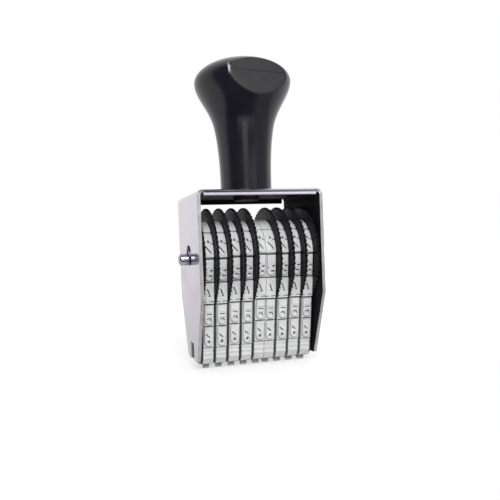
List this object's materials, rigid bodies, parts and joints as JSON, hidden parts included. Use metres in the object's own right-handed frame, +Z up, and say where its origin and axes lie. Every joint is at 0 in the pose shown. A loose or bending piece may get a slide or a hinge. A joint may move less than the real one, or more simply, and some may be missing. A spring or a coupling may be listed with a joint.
{
  "type": "numbering machine",
  "caption": "Hand numbering stamp: a knob handle on a bent steel bracket, with toothed thumb wheels on one axle that carry rubber type bands over a bridge.",
  "frame": {"origin": "middle of the printing faces of the type, under the middle of the axle", "axes": "+X along the axle to the right as seen from the front, +Y to the back, +Z up towards the handle"},
  "size_m": [0.0436, 0.031, 0.0928],
  "materials": {
    "bright_steel": "bright plated sheet steel with fine rolling streaks",
    "handle_plastic": "glossy moulded black",
    "insert_brass": "turned",
    "screw_steel": "plated",
    "axle_steel": "bright turned",
    "clip_steel": "blued spring steel",
    "bridge_plastic": "moulded dark grey",
    "wheel_plastic": "satin moulded black",
    "band_rubber": "pale grey moulded rubber"
  },
  "bodies": {
    "stamp": {"frame": "bright_steel", "handle": "handle_plastic", "handle_insert": "insert_brass", "handle_screw": "screw_steel", "axle": "axle_steel", "axle_clip_left": "clip_steel", "axle_clip_right": "clip_steel", "bridge": "bridge_plastic", "band_1": "band_rubber", "band_2": "band_rubber", "band_3": "band_rubber", "band_4": "band_rubber", "band_5": "band_rubber", "band_6": "band_rubber", "band_7": "band_rubber", "band_8": "band_rubber", "band_9": "band_rubber"},
    "thumb_wheel_1": {"wheel_1": "wheel_plastic"},
    "thumb_wheel_2": {"wheel_2": "wheel_plastic"},
    "thumb_wheel_3": {"wheel_3": "wheel_plastic"},
    "thumb_wheel_4": {"wheel_4": "wheel_plastic"},
    "thumb_wheel_5": {"wheel_5": "wheel_plastic"},
    "thumb_wheel_6": {"wheel_6": "wheel_plastic"},
    "thumb_wheel_7": {"wheel_7": "wheel_plastic"},
    "thumb_wheel_8": {"wheel_8": "wheel_plastic"},
    "thumb_wheel_9": {"wheel_9": "wheel_plastic"}
  },
  "joints": [
    {"name": "wheel_1_spin", "type": "hinge", "parent": "stamp", "child": "thumb_wheel_1", "pos_m": [-0.0156, 0, 0.0327], "axis": [1, 0, 0], "continuous": true},
    {"name": "wheel_2_spin", "type": "hinge", "parent": "stamp", "child": "thumb_wheel_2", "pos_m": [-0.0117, 0, 0.0327], "axis": [1, 0, 0], "continuous": true},
    {"name": "wheel_3_spin", "type": "hinge", "parent": "stamp", "child": "thumb_wheel_3", "pos_m": [-0.0078, 0, 0.0327], "axis": [1, 0, 0], "continuous": true},
    {"name": "wheel_4_spin", "type": "hinge", "parent": "stamp", "child": "thumb_wheel_4", "pos_m": [-0.0039, 0, 0.0327], "axis": [1, 0, 0], "continuous": true},
    {"name": "wheel_5_spin", "type": "hinge", "parent": "stamp", "child": "thumb_wheel_5", "pos_m": [0, 0, 0.0327], "axis": [1, 0, 0], "continuous": true},
    {"name": "wheel_6_spin", "type": "hinge", "parent": "stamp", "child": "thumb_wheel_6", "pos_m": [0.0039, 0, 0.0327], "axis": [1, 0, 0], "continuous": true},
    {"name": "wheel_7_spin", "type": "hinge", "parent": "stamp", "child": "thumb_wheel_7", "pos_m": [0.0078, 0, 0.0327], "axis": [1, 0, 0], "continuous": true},
    {"name": "wheel_8_spin", "type": "hinge", "parent": "stamp", "child": "thumb_wheel_8", "pos_m": [0.0117, 0, 0.0327], "axis": [1, 0, 0], "continuous": true},
    {"name": "wheel_9_spin", "type": "hinge", "parent": "stamp", "child": "thumb_wheel_9", "pos_m": [0.0156, 0, 0.0327], "axis": [1, 0, 0], "continuous": true}
  ]
}
